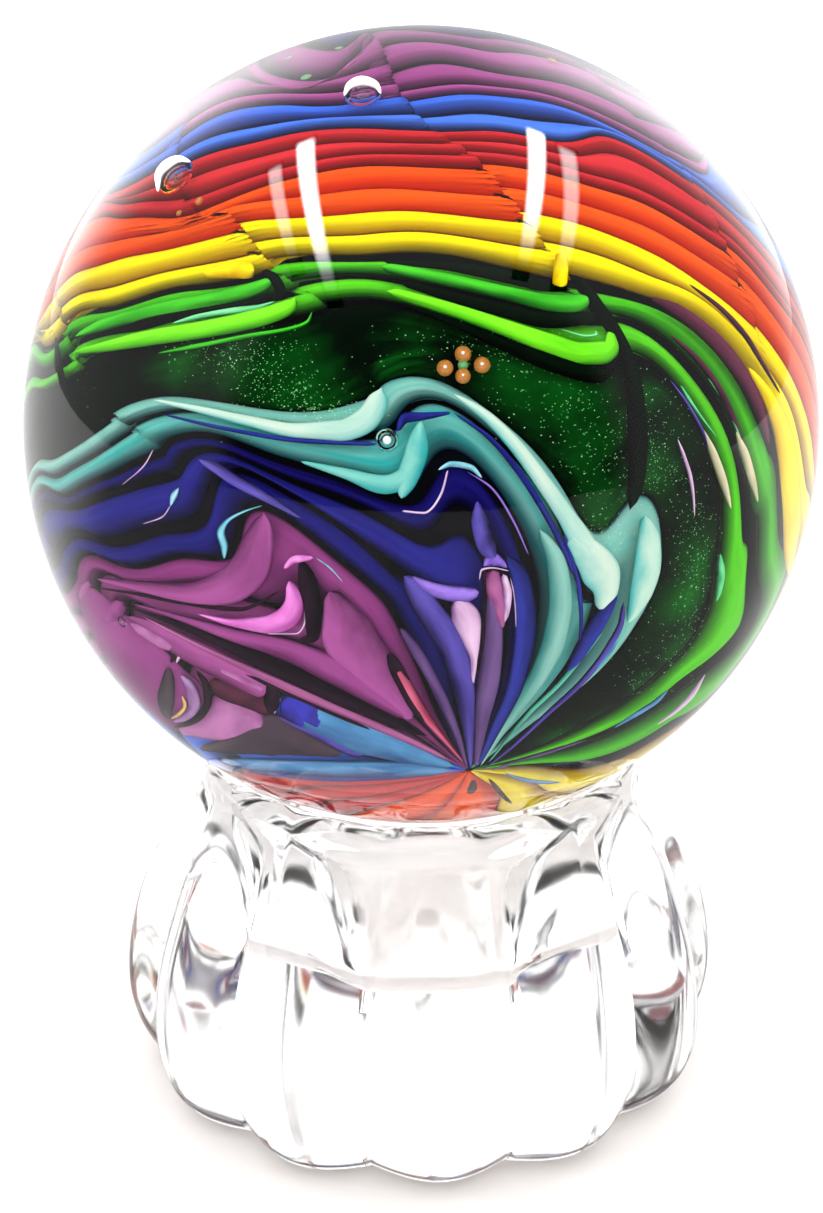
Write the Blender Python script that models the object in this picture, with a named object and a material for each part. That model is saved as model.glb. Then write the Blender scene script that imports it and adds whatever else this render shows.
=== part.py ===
"""Solid glass paperweight ball resting on the rim of a lobed, hollow glass stand.

Metres, +Z up. The origin is the middle of the stand's underside, on the surface it stands on, and the
photographed front faces -Y.
"""
import math

import bmesh
import bpy

# Ball
BALL_DIAMETER = 0.082
BALL_COLUMNS = 64
BALL_ROWS = 32

# Stand: the round mouth that carries the ball
STAND_HEIGHT = 0.0384
MOUTH_DIAMETER = 0.0394
LIP_THICKNESS = 0.0038
COLLAR_HEIGHT = 0.0010
SEAT_GAP = 0.0003

# Stand: the lobed body, measured over the tips of its lobes
BODY_DIAMETER = 0.0660
BODY_WIDEST_HEIGHT = 0.0104
FOOT_DIAMETER = 0.0530
LOBE_COUNT = 12
LOBE_DEPTH = 0.0027
LOBE_TURN = math.radians(4)  # turns the middle of one lobe past -Y, towards +X

# Stand: the well under the ball
WELL_DEPTH = 0.0230
WELL_FLOOR_DIAMETER = 0.0340
WELL_CORNER_RADIUS = 0.0050

# How finely the stand's surfaces are stepped
STEPS_PER_LOBE = 6
FOOT_STEPS = 6
SHOULDER_STEPS = 10
LIP_STEPS = 6
WELL_WALL_STEPS = 2
WELL_CORNER_STEPS = 4

LIP_RADIUS = LIP_THICKNESS / 2
LIP_CENTRE_RADIUS = MOUTH_DIAMETER / 2 + LIP_RADIUS
LIP_CENTRE_HEIGHT = STAND_HEIGHT - LIP_RADIUS
RIM_RADIUS = MOUTH_DIAMETER / 2 + LIP_THICKNESS
SHOULDER_HEIGHT = LIP_CENTRE_HEIGHT - COLLAR_HEIGHT
WELL_FLOOR_HEIGHT = STAND_HEIGHT - WELL_DEPTH


def ball_centre_height():
    """Height at which the ball rests on the round lip all the way round, less the gap between them."""
    reach = BALL_DIAMETER / 2 + LIP_RADIUS + SEAT_GAP
    return LIP_CENTRE_HEIGHT + math.sqrt(reach**2 - LIP_CENTRE_RADIUS**2)


def clear_scene():
    for obj in list(bpy.data.objects):
        bpy.data.objects.remove(obj, do_unlink=True)


def glass_material(name, colour, roughness):
    material = bpy.data.materials.new(name)
    material.use_nodes = True
    shader = material.node_tree.nodes["Principled BSDF"]
    shader.inputs["Base Color"].default_value = (*colour, 1.0)
    shader.inputs["Roughness"].default_value = roughness
    shader.inputs["Metallic"].default_value = 0.0
    shader.inputs["IOR"].default_value = 1.5
    shader.inputs["Transmission Weight"].default_value = 1.0
    material.diffuse_color = (*colour, 1.0)
    return material


def add_object(name, bm, material):
    mesh = bpy.data.meshes.new(name)
    bmesh.ops.recalc_face_normals(bm, faces=bm.faces)
    bm.to_mesh(mesh)
    bm.free()
    mesh.shade_smooth()
    mesh.set_sharp_from_angle(angle=math.radians(40))
    mesh.materials.append(material)
    obj = bpy.data.objects.new(name, mesh)
    bpy.context.scene.collection.objects.link(obj)
    return obj


def foot_profile():
    """Lobe tips from the underside's edge up to the widest level: a quarter of an ellipse."""
    for step in range(FOOT_STEPS):
        angle = math.pi / 2 * step / FOOT_STEPS
        radius = FOOT_DIAMETER / 2 + (BODY_DIAMETER - FOOT_DIAMETER) / 2 * math.sin(angle)
        yield radius, BODY_WIDEST_HEIGHT * (1 - math.cos(angle)), LOBE_DEPTH


def shoulder_profile():
    """Lobe tips from the widest level up to the collar: a parabola, its lobes fading out at the top."""
    for step in range(SHOULDER_STEPS + 1):
        up = step / SHOULDER_STEPS
        radius = BODY_DIAMETER / 2 - (BODY_DIAMETER / 2 - RIM_RADIUS) * up**2
        height = BODY_WIDEST_HEIGHT + (SHOULDER_HEIGHT - BODY_WIDEST_HEIGHT) * up
        yield radius, height, LOBE_DEPTH * math.sqrt(1 - up**2)


def lip_profile():
    """The collar's rounded lip, from its outer side over the top to the mouth."""
    for step in range(LIP_STEPS + 1):
        angle = math.pi * step / LIP_STEPS
        radius = LIP_CENTRE_RADIUS + LIP_RADIUS * math.cos(angle)
        yield radius, LIP_CENTRE_HEIGHT + LIP_RADIUS * math.sin(angle), 0.0


def well_profile():
    """The well's tapering wall and the round corner down to its flat floor."""
    floor_radius = WELL_FLOOR_DIAMETER / 2
    corner_top = WELL_FLOOR_HEIGHT + WELL_CORNER_RADIUS
    for step in range(1, WELL_WALL_STEPS + 1):
        down = step / WELL_WALL_STEPS
        radius = MOUTH_DIAMETER / 2 + (floor_radius - MOUTH_DIAMETER / 2) * down
        yield radius, LIP_CENTRE_HEIGHT + (corner_top - LIP_CENTRE_HEIGHT) * down, 0.0
    for step in range(1, WELL_CORNER_STEPS + 1):
        angle = math.pi / 2 * step / WELL_CORNER_STEPS
        radius = floor_radius - WELL_CORNER_RADIUS * (1 - math.cos(angle))
        yield radius, corner_top - WELL_CORNER_RADIUS * math.sin(angle), 0.0


def lobed_ring(bm, tip_radius, height, lobe_depth):
    """One closed ring of vertices: each lobe is an arc, and a groove of the given depth parts it from the next."""
    ring = []
    for lobe in range(LOBE_COUNT):
        for step in range(STEPS_PER_LOBE):
            across = 2 * step / STEPS_PER_LOBE - 1
            angle = (lobe + across / 2) * 2 * math.pi / LOBE_COUNT + LOBE_TURN
            radius = tip_radius - lobe_depth * across**2
            ring.append(bm.verts.new((radius * math.sin(angle), -radius * math.cos(angle), height)))
    return ring


def join_rings(bm, lower, upper):
    for index, corner in enumerate(lower):
        following = (index + 1) % len(lower)
        bm.faces.new((corner, lower[following], upper[following], upper[index]))


def close_ring(bm, ring, height):
    centre = bm.verts.new((0.0, 0.0, height))
    for index, corner in enumerate(ring):
        bm.faces.new((corner, ring[(index + 1) % len(ring)], centre))


def build_stand():
    bm = bmesh.new()
    profile = [*foot_profile(), *shoulder_profile(), *lip_profile(), *well_profile()]
    rings = [lobed_ring(bm, *level) for level in profile]
    for lower, upper in zip(rings, rings[1:]):
        join_rings(bm, lower, upper)
    close_ring(bm, rings[0], 0.0)
    close_ring(bm, rings[-1], WELL_FLOOR_HEIGHT)
    return add_object("glass_stand", bm, glass_material("clear_stand_glass", (0.97, 0.96, 0.95), 0.02))


def build_ball():
    bm = bmesh.new()
    bmesh.ops.create_uvsphere(bm, u_segments=BALL_COLUMNS, v_segments=BALL_ROWS, radius=BALL_DIAMETER / 2)
    ball = add_object("glass_ball", bm, glass_material("paperweight_glass", (0.62, 0.55, 0.72), 0.02))
    ball.location = (0.0, 0.0, ball_centre_height())
    return ball


clear_scene()
build_stand()
build_ball()
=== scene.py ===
"""Glass ball paperweight with a rainbow of twisted canes sealed in it, resting on a lobed glass stand.

Metres, +Z up, front towards -Y. The canes are laid out about the pole where they all meet. Their place on
the core is an angle from that pole and an azimuth about it, 0 to the right and 90 up as seen in front.
"""
import math
import random

import bmesh
import bpy
import numpy as np
from mathutils import Matrix, Vector


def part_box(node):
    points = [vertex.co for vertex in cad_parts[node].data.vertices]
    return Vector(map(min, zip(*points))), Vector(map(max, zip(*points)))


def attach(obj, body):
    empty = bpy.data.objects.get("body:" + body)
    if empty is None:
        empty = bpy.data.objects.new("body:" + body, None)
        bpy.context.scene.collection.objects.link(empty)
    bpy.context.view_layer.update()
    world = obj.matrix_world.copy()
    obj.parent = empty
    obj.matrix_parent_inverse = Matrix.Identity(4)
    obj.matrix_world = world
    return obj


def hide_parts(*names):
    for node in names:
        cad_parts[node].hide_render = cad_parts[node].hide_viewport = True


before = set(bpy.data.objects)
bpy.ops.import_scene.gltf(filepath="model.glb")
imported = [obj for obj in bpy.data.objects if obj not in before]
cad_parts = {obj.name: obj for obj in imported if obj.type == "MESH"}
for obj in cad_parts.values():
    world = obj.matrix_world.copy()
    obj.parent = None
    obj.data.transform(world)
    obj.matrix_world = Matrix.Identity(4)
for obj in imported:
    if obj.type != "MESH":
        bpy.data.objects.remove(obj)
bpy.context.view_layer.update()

# Frame
BALL_LOW, BALL_HIGH = (np.array(corner, float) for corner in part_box("glass_ball"))
STAND_LOW, STAND_HIGH = (np.array(corner, float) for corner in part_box("glass_stand"))
BALL_CENTRE = (BALL_LOW + BALL_HIGH) / 2
BALL_RADIUS = (BALL_HIGH[2] - BALL_LOW[2]) / 2
GLASS_IOR = 1.5

# Camera, in ball radii from the ball's centre where lengths are given without metres
PHOTO_WIDTH, PHOTO_HEIGHT = 823, 1213
SENSOR_MM = 36.0
FOCAL_PX = 2400.0
CAMERA_TILT = math.radians(21.9)
CAMERA_REACH = 6.12 * BALL_RADIUS
BALL_ABOVE_AXIS = math.radians(4.22)
BALL_BESIDE_AXIS = 0.024 * BALL_RADIUS

# The core that the canes lie on
CANE_BASE_RADIUS = 0.872 * BALL_RADIUS
CANE_CROWN_RADIUS = 0.900 * BALL_RADIUS
CORE_RADIUS = 0.835 * BALL_RADIUS
POLE_SEEN_AT = (470, 775)
PIXEL = BALL_RADIUS / 399.0  # what one pixel of the picture spans on the ball

# Twist of the canes, in degrees, against the angle from the pole
TWIST = ((0, 0), (35, 2), (45, 10), (55, 26), (65, 52), (75, 84), (85, 130), (95, 200),
         (105, 262), (115, 303), (128, 335), (150, 358), (180, 372))
# Azimuth of one fold against the angle from the pole; the others follow every FOLD_STEP
FOLD_LINE = ((0, 90), (34, 100), (52, 106.5), (69, 113), (78, 119), (88, 126), (97, 131), (112, 141),
    (121, 142), (180, 150))
FOLD_STEP = 36.0
FOLD_SKEW = 0.85
FOLD_CLOSENESS = 1.5
# Angles from the pole between which the folds rise, die out and overlap more
FOLDS_RISE, FOLDS_DIE, OVERLAP_GROWS = (30, 44), (125, 150), (60, 78)
FOLD_SWELLS = ((4.2, 50, 15), (2.0, 88, 28))  # most sway, where it is and how wide, in degrees
OVERLAP_NEAR, OVERLAP_FAR = 1.0, 6.5  # how far the canes are drawn over, in degrees
NEAR_LIMIT = 42  # edges seen closer to the pole than this give the near offsets
OUTWARD = (32, 44)  # angles between which the near offsets give way to the far ones
LEAST_TURN = 8.0  # an edge is compared across the twist only where it has turned at least this far
MOST_OFFSET = 18.0

# Colour bands in turn about the pole, each with the azimuth where its first edge leaves the pole
BAND_START = {"purple": -239, "blue": -184, "crimson": -160, "orange": -120, "yellow": -65,
              "green": -20, "aventurine": 25, "turquoise": 50, "indigo": 82}
BAND_NAMES = list(BAND_START)
BAND_COUNT = len(BAND_NAMES)

# Where the edges between bands show in the picture, by band number; past 9 the same bands come round again
EDGES_SEEN = {
    0: ((240, 74), (300, 47), (420, 28), (540, 46), (640, 93), (735, 176)),
    1: ((790, 247), (739, 183), (649, 145), (598, 114), (547, 96), (484, 90), (399, 91), (346, 106),
        (278, 98), (230, 104), (191, 123), (150, 152)),
    2: ((777, 260), (752, 231), (708, 193), (675, 163), (637, 142), (530, 132), (420, 131), (346, 121),
        (302, 128), (242, 144), (210, 150), (140, 179)),
    3: ((797, 323), (777, 300), (726, 247), (662, 206), (573, 177), (470, 168), (420, 163), (363, 158),
        (315, 167), (278, 181), (222, 193), (198, 217), (133, 213), (92, 215)),
    4: ((803, 397), (772, 341), (739, 305), (700, 277), (650, 247), (599, 225), (553, 216), (512, 217),
        (420, 206), (351, 210), (278, 222), (239, 221), (208, 227), (200, 244), (157, 247), (108, 256),
        (62, 278)),
    5: ((522, 769), (571, 779), (615, 766), (700, 715), (750, 655), (795, 560), (797, 500), (782, 420),
        (739, 349), (700, 313), (637, 290), (575, 272), (560, 286), (522, 265), (471, 254), (420, 252),
        (327, 256), (262, 265), (251, 279), (169, 283), (119, 299), (62, 317), (30, 345)),
    5.5: ((561, 752), (609, 733), (654, 706), (695, 669), (724, 634), (743, 594), (754, 553), (759, 501),
        (751, 464), (737, 431), (719, 389), (695, 356), (668, 332)),
    6: ((549, 749), (604, 724), (659, 689), (695, 642), (714, 587), (722, 500), (708, 420), (688, 392),
        (657, 364), (621, 346), (606, 366), (573, 366), (522, 351), (471, 333), (420, 311), (351, 293),
        (325, 297), (311, 319), (287, 329), (158, 349), (89, 360), (60, 378), (24, 405)),
    7: ((522, 735), (577, 697), (618, 664), (645, 623), (664, 574), (667, 524), (646, 501), (637, 515),
        (601, 552), (581, 529), (555, 496), (517, 442), (479, 404), (425, 372), (392, 378), (374, 384),
        (351, 414), (331, 424), (300, 422), (218, 410), (162, 398), (143, 400), (105, 424), (79, 446),
        (28, 479)),
    7.5: ((583, 636), (568, 554), (542, 503), (517, 465), (479, 427), (448, 412), (407, 417), (377, 442),
        (300, 440), (176, 420), (150, 415), (125, 440), (79, 470), (30, 492)),
    8: ((500, 724), (527, 678), (541, 628), (538, 574), (522, 529), (504, 493), (479, 465), (453, 460),
        (425, 480), (402, 503), (351, 493), (300, 472), (257, 454), (198, 434), (176, 434), (147, 452),
        (99, 479), (32, 507)),
    9: ((440, 730), (420, 680), (395, 630), (360, 580), (330, 553), (287, 523), (259, 506), (229, 553),
        (200, 572), (150, 575), (75, 565)),
    10: ((412, 745), (330, 715), (275, 697)),
    11: ((385, 779), (330, 777), (250, 775), (210, 765)),
}


def camera_frame():
    back = np.array([0.0, -math.cos(CAMERA_TILT), math.sin(CAMERA_TILT)])
    up = np.array([0.0, math.sin(CAMERA_TILT), math.cos(CAMERA_TILT)])
    right = np.array([1.0, 0.0, 0.0])
    place = (BALL_CENTRE - right * BALL_BESIDE_AXIS - up * CAMERA_REACH * math.sin(BALL_ABOVE_AXIS)
             + back * CAMERA_REACH * math.cos(BALL_ABOVE_AXIS))
    return place, right, up, back


def make_camera():
    place, right, up, back = camera_frame()
    camera = bpy.data.objects.new("camera", bpy.data.cameras.new("camera"))
    camera.data.sensor_fit = "VERTICAL"
    camera.data.sensor_height = SENSOR_MM
    camera.data.lens = FOCAL_PX / PHOTO_HEIGHT * SENSOR_MM
    camera.data.clip_start = 0.01
    matrix = Matrix((right, up, back)).transposed().to_4x4()
    matrix.translation = Vector(place)
    camera.matrix_world = matrix
    bpy.context.scene.collection.objects.link(camera)
    bpy.context.scene.camera = camera


def seen_at(x, y, radius):
    """Points on a sphere of this radius inside the ball that show at pixels of the picture."""
    place, right, up, back = camera_frame()
    x, y = np.asarray(x, float)[..., None], np.asarray(y, float)[..., None]
    ray = right * (x - PHOTO_WIDTH / 2) / FOCAL_PX - up * (y - PHOTO_HEIGHT / 2) / FOCAL_PX - back
    ray /= np.linalg.norm(ray, axis=-1, keepdims=True)
    start = place - BALL_CENTRE
    along = ray @ start
    room = along**2 - (start @ start - BALL_RADIUS**2)
    hit = start + (-along - np.sqrt(np.maximum(room, 0.0)))[..., None] * ray
    normal = hit / np.linalg.norm(hit, axis=-1, keepdims=True)
    facing = -np.sum(normal * ray, axis=-1, keepdims=True)
    bent = ray / GLASS_IOR + (facing / GLASS_IOR - np.sqrt(1 - (1 - facing**2) / GLASS_IOR**2)) * normal
    along = np.sum(hit * bent, axis=-1)
    room = along**2 - (np.sum(hit * hit, axis=-1) - radius**2)
    return hit + (-along - np.sqrt(np.maximum(room, 0.0)))[..., None] * bent


def pole_frame():
    """The pole's direction, with the directions of azimuth 0 and 90 about it."""
    pole = seen_at(*POLE_SEEN_AT, CANE_CROWN_RADIUS)
    pole /= np.linalg.norm(pole)
    up = camera_frame()[2]
    north = up - (up @ pole) * pole
    north /= np.linalg.norm(north)
    return pole, np.cross(north, pole), north


POLE, EAST, NORTH = pole_frame()


def about_pole(point):
    """Angle from the pole and azimuth about it, in degrees, of a point given from the ball's centre."""
    unit = point / np.linalg.norm(point)
    return (math.degrees(math.acos(max(-1.0, min(1.0, unit @ POLE)))),
            math.degrees(math.atan2(unit @ NORTH, unit @ EAST)))


def towards(angle, azimuth):
    """Unit vectors for arrays of angles from the pole and azimuths about it, in degrees."""
    angle, azimuth = np.radians(angle)[..., None], np.radians(azimuth)[..., None]
    return np.cos(angle) * POLE + np.sin(angle) * (np.cos(azimuth) * EAST + np.sin(azimuth) * NORTH)


def smooth_curve(knots):
    """A monotone cubic through the knots, as a function of arrays."""
    x, y = (np.array(v, float) for v in zip(*knots))
    step, rise = np.diff(x), np.diff(y) / np.diff(x)
    slope = np.zeros(len(x))
    slope[0], slope[-1] = rise[0], rise[-1]
    weight_a, weight_b = 2 * step[1:] + step[:-1], step[1:] + 2 * step[:-1]
    both = rise[:-1] * rise[1:] > 0
    before, after = rise[:-1][both], rise[1:][both]
    weight_a, weight_b = weight_a[both], weight_b[both]
    slope[1:-1][both] = (weight_a + weight_b) / (weight_a / before + weight_b / after)

    def at(value):
        value = np.clip(value, x[0], x[-1])
        cell = np.clip(np.searchsorted(x, value, side="right") - 1, 0, len(x) - 2)
        t = (value - x[cell]) / step[cell]
        return (y[cell] * (2 * t**3 - 3 * t**2 + 1) + slope[cell] * step[cell] * (t**3 - 2 * t**2 + t)
                + y[cell + 1] * (3 * t**2 - 2 * t**3) + slope[cell + 1] * step[cell] * (t**3 - t**2))

    return at


twist_at = smooth_curve(TWIST)
fold_azimuth_at = smooth_curve(FOLD_LINE)
band_azimuth_at = smooth_curve(
    [(number, azimuth) for number, azimuth in enumerate([*BAND_START.values(), BAND_START["purple"] + 360])])


def bell(value, middle, width):
    return np.exp(-(((value - middle) / width) ** 2))


def ease(low, high, value):
    t = np.clip((value - low) / (high - low), 0.0, 1.0)
    return t * t * (3 - 2 * t)


def folded(base, azimuth):
    """Angle, azimuth and rise of canes once the folds have swayed them and drawn one side over the other."""
    phase = (2 * math.pi * (azimuth - fold_azimuth_at(base)) / FOLD_STEP + math.pi) % (2 * math.pi) - math.pi
    sway = -np.sin(phase + FOLD_SKEW * np.sin(phase))
    near_fold = bell(phase, 0, FOLD_CLOSENESS)
    present = ease(*FOLDS_RISE, base) * (1 - ease(*FOLDS_DIE, base))
    height = sum(most * bell(base, middle, width) for most, middle, width in FOLD_SWELLS)
    overlap = OVERLAP_NEAR + (OVERLAP_FAR - OVERLAP_NEAR) * ease(*OVERLAP_GROWS, base)
    rise = -sway * near_fold * present
    return base + height * sway * present, azimuth + overlap * sway * near_fold * present, rise


def cane_line(band, near_offsets):
    """Angle and azimuth along the line at one band coordinate, before the far offsets."""
    base = np.linspace(0.5, 179.5, 1800)
    turn = band_azimuth_at(band) + twist_at(base)
    if len(near_offsets):
        near = blended(near_offsets, 0, np.full(base.shape, band), base, *NEAR_REACH)
        turn = turn + near * (1 - ease(*OUTWARD, base))
    return folded(base, turn)[:2]


def measured_offsets():
    """What the twist and the folds alone leave between the formula and the edges seen in the picture."""
    near, far, seen = [], [], []
    for number, pixels in EDGES_SEEN.items():
        band = number - BAND_COUNT if number >= BAND_COUNT else number
        start = float(band_azimuth_at(band))
        for pixel in pixels:
            angle, azimuth = about_pole(seen_at(*pixel, CANE_CROWN_RADIUS))
            turn = float(twist_at(angle))
            azimuth -= 360 * round((azimuth - start - turn) / 360)
            if angle < NEAR_LIMIT:
                near.append((band, angle, azimuth - start - turn))
            if azimuth - start > LEAST_TURN:
                seen.append((band, angle, azimuth))
    near = np.array(near)
    for band, angle, azimuth in seen:
        angles, azimuths = cane_line(band, near)
        close = np.abs(azimuths - azimuth) < 1.5
        if close.any():
            nearest = np.argmin(np.abs(angles[close] - angle))
            offset = angle - angles[close][nearest]
            if abs(offset) < MOST_OFFSET:
                far.append((band, azimuth, offset))
    return near, np.array(far)


def blended(offsets, turn, band, place, band_reach, place_reach, rest):
    """Weighted mean of the offsets near each (band, place), fading to nothing away from all of them."""
    total = np.full(np.broadcast(band, place).shape, rest)
    value = np.zeros_like(total)
    for lap in (-1, 0, 1):
        for known_band, known_place, offset in offsets:
            weight = (bell(band, known_band + lap * BAND_COUNT, band_reach)
                      * bell(place, known_place + lap * turn, place_reach))
            total += weight
            value += weight * offset
    return value / total


# How far an offset reaches, in bands and in degrees, and the weight of no offset
NEAR_REACH = (0.55, 8.0, 0.02)
FAR_REACH = (0.42, 8.0, 0.02)
NEAR_OFFSETS, FAR_OFFSETS = measured_offsets()


def cane_place(band, base):
    """Angle, azimuth and rise for arrays of band coordinate and base angle from the pole."""
    azimuth = band_azimuth_at(band) + twist_at(base)
    outward = ease(*OUTWARD, base)
    azimuth = azimuth + blended(NEAR_OFFSETS, 0, band, base, *NEAR_REACH) * (1 - outward)
    angle, azimuth, rise = folded(base, azimuth)
    far = blended(FAR_OFFSETS, 360, band, azimuth, *FAR_REACH)
    return angle + far * outward, azimuth, rise


def linear(red, green, blue):
    """Linear colour from 0 to 255 values as they look in the picture."""
    return tuple(((v / 255 + 0.055) / 1.055) ** 2.4 if v > 10 else v / 255 / 12.92
                 for v in (red, green, blue))


SEALED_ROUGHNESS = 0.3


def add_piece(name, vertices, faces, material, smooth=True):
    mesh = bpy.data.meshes.new(name)
    mesh.from_pydata([tuple(v) for v in vertices], [], [tuple(f) for f in faces])
    mesh.validate()
    mesh.update()
    if smooth:
        mesh.shade_smooth()
    mesh.materials.append(material)
    piece = bpy.data.objects.new(name, mesh)
    bpy.context.scene.collection.objects.link(piece)
    return piece


def piece_from(bm, name, material):
    """A smooth piece from a bmesh, which is then freed."""
    mesh = bpy.data.meshes.new(name)
    bm.to_mesh(mesh)
    bm.free()
    mesh.shade_smooth()
    mesh.materials.append(material)
    piece = bpy.data.objects.new(name, mesh)
    bpy.context.scene.collection.objects.link(piece)
    return piece


def set_values(piece, columns):
    """One number at each vertex, under each label."""
    for label, values in columns.items():
        attribute = piece.data.attributes.new(label, "FLOAT", "POINT")
        attribute.data.foreach_set("value", np.asarray(values, np.float32))


def hide_from(piece, *rays):
    for ray in rays:
        setattr(piece, f"visible_{ray}", False)


def sealed(piece):
    """Attaches a piece to the root body, as the ball and all that is sealed in it are."""
    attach(piece, "root")
    return piece


# Nodes

class Graph:
    """The node tree of a material or of the world, with short ways to add to it."""

    def __init__(self, tree):
        self.nodes, self.links = tree.nodes, tree.links

    def feed(self, socket, value):
        """Links another node's output to a socket, or sets a plain value on it."""
        if isinstance(value, bpy.types.NodeSocket):
            self.links.new(value, socket)
        else:
            socket.default_value = value

    def math(self, operation, *values):
        node = self.nodes.new("ShaderNodeMath")
        node.operation = operation
        for socket, value in zip(node.inputs, values):
            self.feed(socket, value)
        return node.outputs["Value"]

    def product(self, first, *others):
        for other in others:
            first = self.math("MULTIPLY", first, other)
        return first

    def step(self, value, low, high):
        """0 at low and 1 at high, with a smooth change between them."""
        node = self.nodes.new("ShaderNodeMapRange")
        node.interpolation_type = "SMOOTHSTEP"
        for name, end in (("Value", value), ("From Min", low), ("From Max", high)):
            self.feed(node.inputs[name], end)
        return node.outputs["Result"]

    def blend(self, share, first, second):
        node = self.nodes.new("ShaderNodeMix")
        for name, value in (("Factor", share), ("A", first), ("B", second)):
            self.feed(node.inputs[name], value)
        return node.outputs["Result"]

    def blend_colours(self, share, first, second):
        node = self.nodes.new("ShaderNodeMix")
        node.data_type = "RGBA"
        self.links.new(share, node.inputs["Factor"])
        for name, colour in (("A", first), ("B", second)):
            self.feed(node.inputs[name], (*colour, 1.0) if isinstance(colour, tuple) else colour)
        return node.outputs["Result"]

    def ramp(self, value, stops):
        """Colour against a value, from pairs of a position and a colour."""
        node = self.nodes.new("ShaderNodeValToRGB")
        elements = node.color_ramp.elements
        elements.remove(elements[1])
        for number, (position, colour) in enumerate(stops):
            element = elements.new(position) if number else elements[0]
            element.position = position
            element.color = (*colour, 1.0)
        self.links.new(value, node.inputs["Fac"])
        return node.outputs["Color"]

    def attribute(self, name):
        node = self.nodes.new("ShaderNodeAttribute")
        node.attribute_name = name
        return node.outputs["Fac"]

    def noise(self, scale, detail=2.0, place=None):
        node = self.nodes.new("ShaderNodeTexNoise")
        node.inputs["Scale"].default_value = scale
        node.inputs["Detail"].default_value = detail
        if place is not None:
            self.links.new(place, node.inputs["Vector"])
        return node.outputs["Fac"]


def new_material(name, roughness, specular=0.5):
    """A material with its graph and its shader."""
    material = bpy.data.materials.new(name)
    material.use_nodes = True
    graph = Graph(material.node_tree)
    shader = graph.nodes["Principled BSDF"]
    shader.inputs["Roughness"].default_value = roughness
    shader.inputs["Specular IOR Level"].default_value = specular
    return material, graph, shader


def speckled_material(name, dark, light, scale, reach=(0.35, 0.65), specular=0.5):
    """Glass whose colour wanders between two as a noise rises through the reach."""
    material, graph, shader = new_material(name, SEALED_ROUGHNESS, specular)
    colour = graph.ramp(graph.noise(scale), ((reach[0], linear(*dark)), (reach[1], linear(*light))))
    graph.links.new(colour, shader.inputs["Base Color"])
    return material


# Glass

def glass_material(name, tint, roughness):
    material, _, shader = new_material(name, roughness)
    shader.inputs["Base Color"].default_value = (*tint, 1.0)
    shader.inputs["IOR"].default_value = GLASS_IOR
    shader.inputs["Transmission Weight"].default_value = 1.0
    return material


def ring_faces(rings, around, closed=True):
    """Quads between successive rings of a mesh whose vertices are stored ring by ring."""
    faces = []
    for ring in range(rings - 1):
        for step in range(around):
            following = (step + 1) % around
            low, high = ring * around, (ring + 1) * around
            faces.append((low + step, low + following, high + following, high + step))
    if closed:
        faces.append(tuple(reversed(range(around))))
        faces.append(tuple(range((rings - 1) * around, rings * around)))
    return faces


BALL_COLUMNS = 192
BALL_ROWS = 96


def build_ball(material):
    bm = bmesh.new()
    bmesh.ops.create_uvsphere(bm, u_segments=BALL_COLUMNS, v_segments=BALL_ROWS, radius=BALL_RADIUS)
    bmesh.ops.translate(bm, verts=bm.verts, vec=Vector(BALL_CENTRE))
    ball = sealed(piece_from(bm, "clear_ball", material))
    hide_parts("glass_ball")


# Stand: the CAD's profile, stepped finely
STAND_HEIGHT = STAND_HIGH[2] - STAND_LOW[2]
MOUTH_DIAMETER = 0.0394
LIP_THICKNESS = 0.0038
COLLAR_HEIGHT = 0.0010
BODY_DIAMETER = 0.0660
BODY_WIDEST_HEIGHT = 0.0104
FOOT_DIAMETER = 0.0530
LOBE_COUNT = 12
LOBE_DEPTH = 0.0027
LOBE_TURN = math.radians(4)
GROOVE_SOFTNESS = 0.4
WELL_DEPTH = 0.0230
WELL_FLOOR_DIAMETER = 0.0340
WELL_CORNER_RADIUS = 0.0050
WELL_FLUTE_DEPTH = 0.0005
WELL_FLUTE_ONSET = 0.0006
RIPPLE_DEPTH = 0.00012
STEPS_PER_LOBE = 18
FOOT_STEPS = 14
SHOULDER_STEPS = 36
LIP_STEPS = 20
WELL_WALL_STEPS = 16
WELL_CORNER_STEPS = 12

LIP_RADIUS = LIP_THICKNESS / 2
LIP_CENTRE_RADIUS = MOUTH_DIAMETER / 2 + LIP_RADIUS
LIP_CENTRE_HEIGHT = STAND_HEIGHT - LIP_RADIUS
RIM_RADIUS = MOUTH_DIAMETER / 2 + LIP_THICKNESS
SHOULDER_HEIGHT = LIP_CENTRE_HEIGHT - COLLAR_HEIGHT
WELL_FLOOR_HEIGHT = STAND_HEIGHT - WELL_DEPTH


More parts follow.
